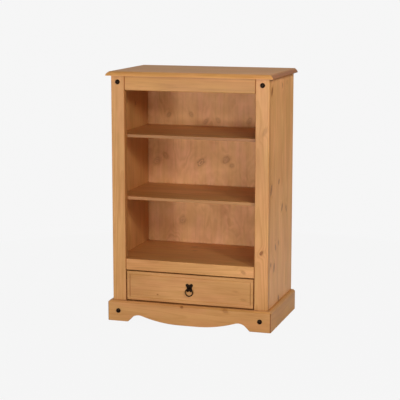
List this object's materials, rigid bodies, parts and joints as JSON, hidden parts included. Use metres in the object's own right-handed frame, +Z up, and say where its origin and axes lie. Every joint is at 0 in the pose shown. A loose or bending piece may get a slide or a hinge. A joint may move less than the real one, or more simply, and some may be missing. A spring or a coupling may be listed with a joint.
{
  "type": "bookcase with bottom drawer",
  "caption": "Waxed pine bookcase with a moulded top, open shelves, a wide bottom drawer with an iron ring pull, and a scalloped plinth.",
  "frame": {"origin": "on the floor, halfway across the bookcase and halfway between its back and the fronts of its lower studs", "axes": "+X to the right seen from the front, +Y to the back, +Z up; the drawer opens towards -Y"},
  "size_m": [0.8, 0.485, 1.185],
  "materials": {
    "waxed_pine": "satin wax",
    "veneered_back": "thin satin",
    "bare_pine": "planed, unfinished",
    "drawer_plywood": "unfinished",
    "black_iron": "waxed black",
    "zinc_steel": "zinc plated"
  },
  "bodies": {
    "case": {"top_board": "waxed_pine", "left_side_panel": "waxed_pine", "right_side_panel": "waxed_pine", "left_front_stile": "waxed_pine", "right_front_stile": "waxed_pine", "top_front_rail": "waxed_pine", "deck_front_rail": "waxed_pine", "bottom_front_rail": "waxed_pine", "deck_board": "waxed_pine", "lower_shelf": "waxed_pine", "upper_shelf": "waxed_pine", "plinth_front": "waxed_pine", "plinth_left": "waxed_pine", "plinth_right": "waxed_pine", "back_panel": "veneered_back", "top_back_rail": "bare_pine", "bottom_back_rail": "bare_pine", "left_top_cleat": "bare_pine", "right_top_cleat": "bare_pine", "left_drawer_runner": "bare_pine", "right_drawer_runner": "bare_pine", "left_drawer_guide": "bare_pine", "right_drawer_guide": "bare_pine", "left_drawer_kicker": "bare_pine", "right_drawer_kicker": "bare_pine", "drawer_stops": "bare_pine", "stud_top_left": "black_iron", "stud_top_right": "black_iron", "stud_bottom_left": "black_iron", "stud_bottom_right": "black_iron", "top_cleat_screws": "zinc_steel", "plinth_front_screws": "zinc_steel", "left_plinth_screws": "zinc_steel", "right_plinth_screws": "zinc_steel", "back_panel_brads": "zinc_steel"},
    "drawer": {"drawer_front": "waxed_pine", "drawer_left_side": "bare_pine", "drawer_right_side": "bare_pine", "drawer_back": "bare_pine", "drawer_bottom": "drawer_plywood", "drawer_bottom_screws": "zinc_steel", "ring_backplate": "black_iron", "ring_staple": "black_iron", "staple_washer": "zinc_steel", "staple_nut": "zinc_steel"},
    "ring": {"ring_pull": "black_iron"}
  },
  "joints": [
    {"name": "drawer_slide", "type": "slide", "parent": "case", "child": "drawer", "axis": [0, -1, 0], "range_m": [0, 0.3]},
    {"name": "ring_swing", "type": "hinge", "parent": "drawer", "child": "ring", "pos_m": [0, -0.21905, 0.177], "axis": [-1, 0, 0], "range_deg": [-8, 150]}
  ]
}
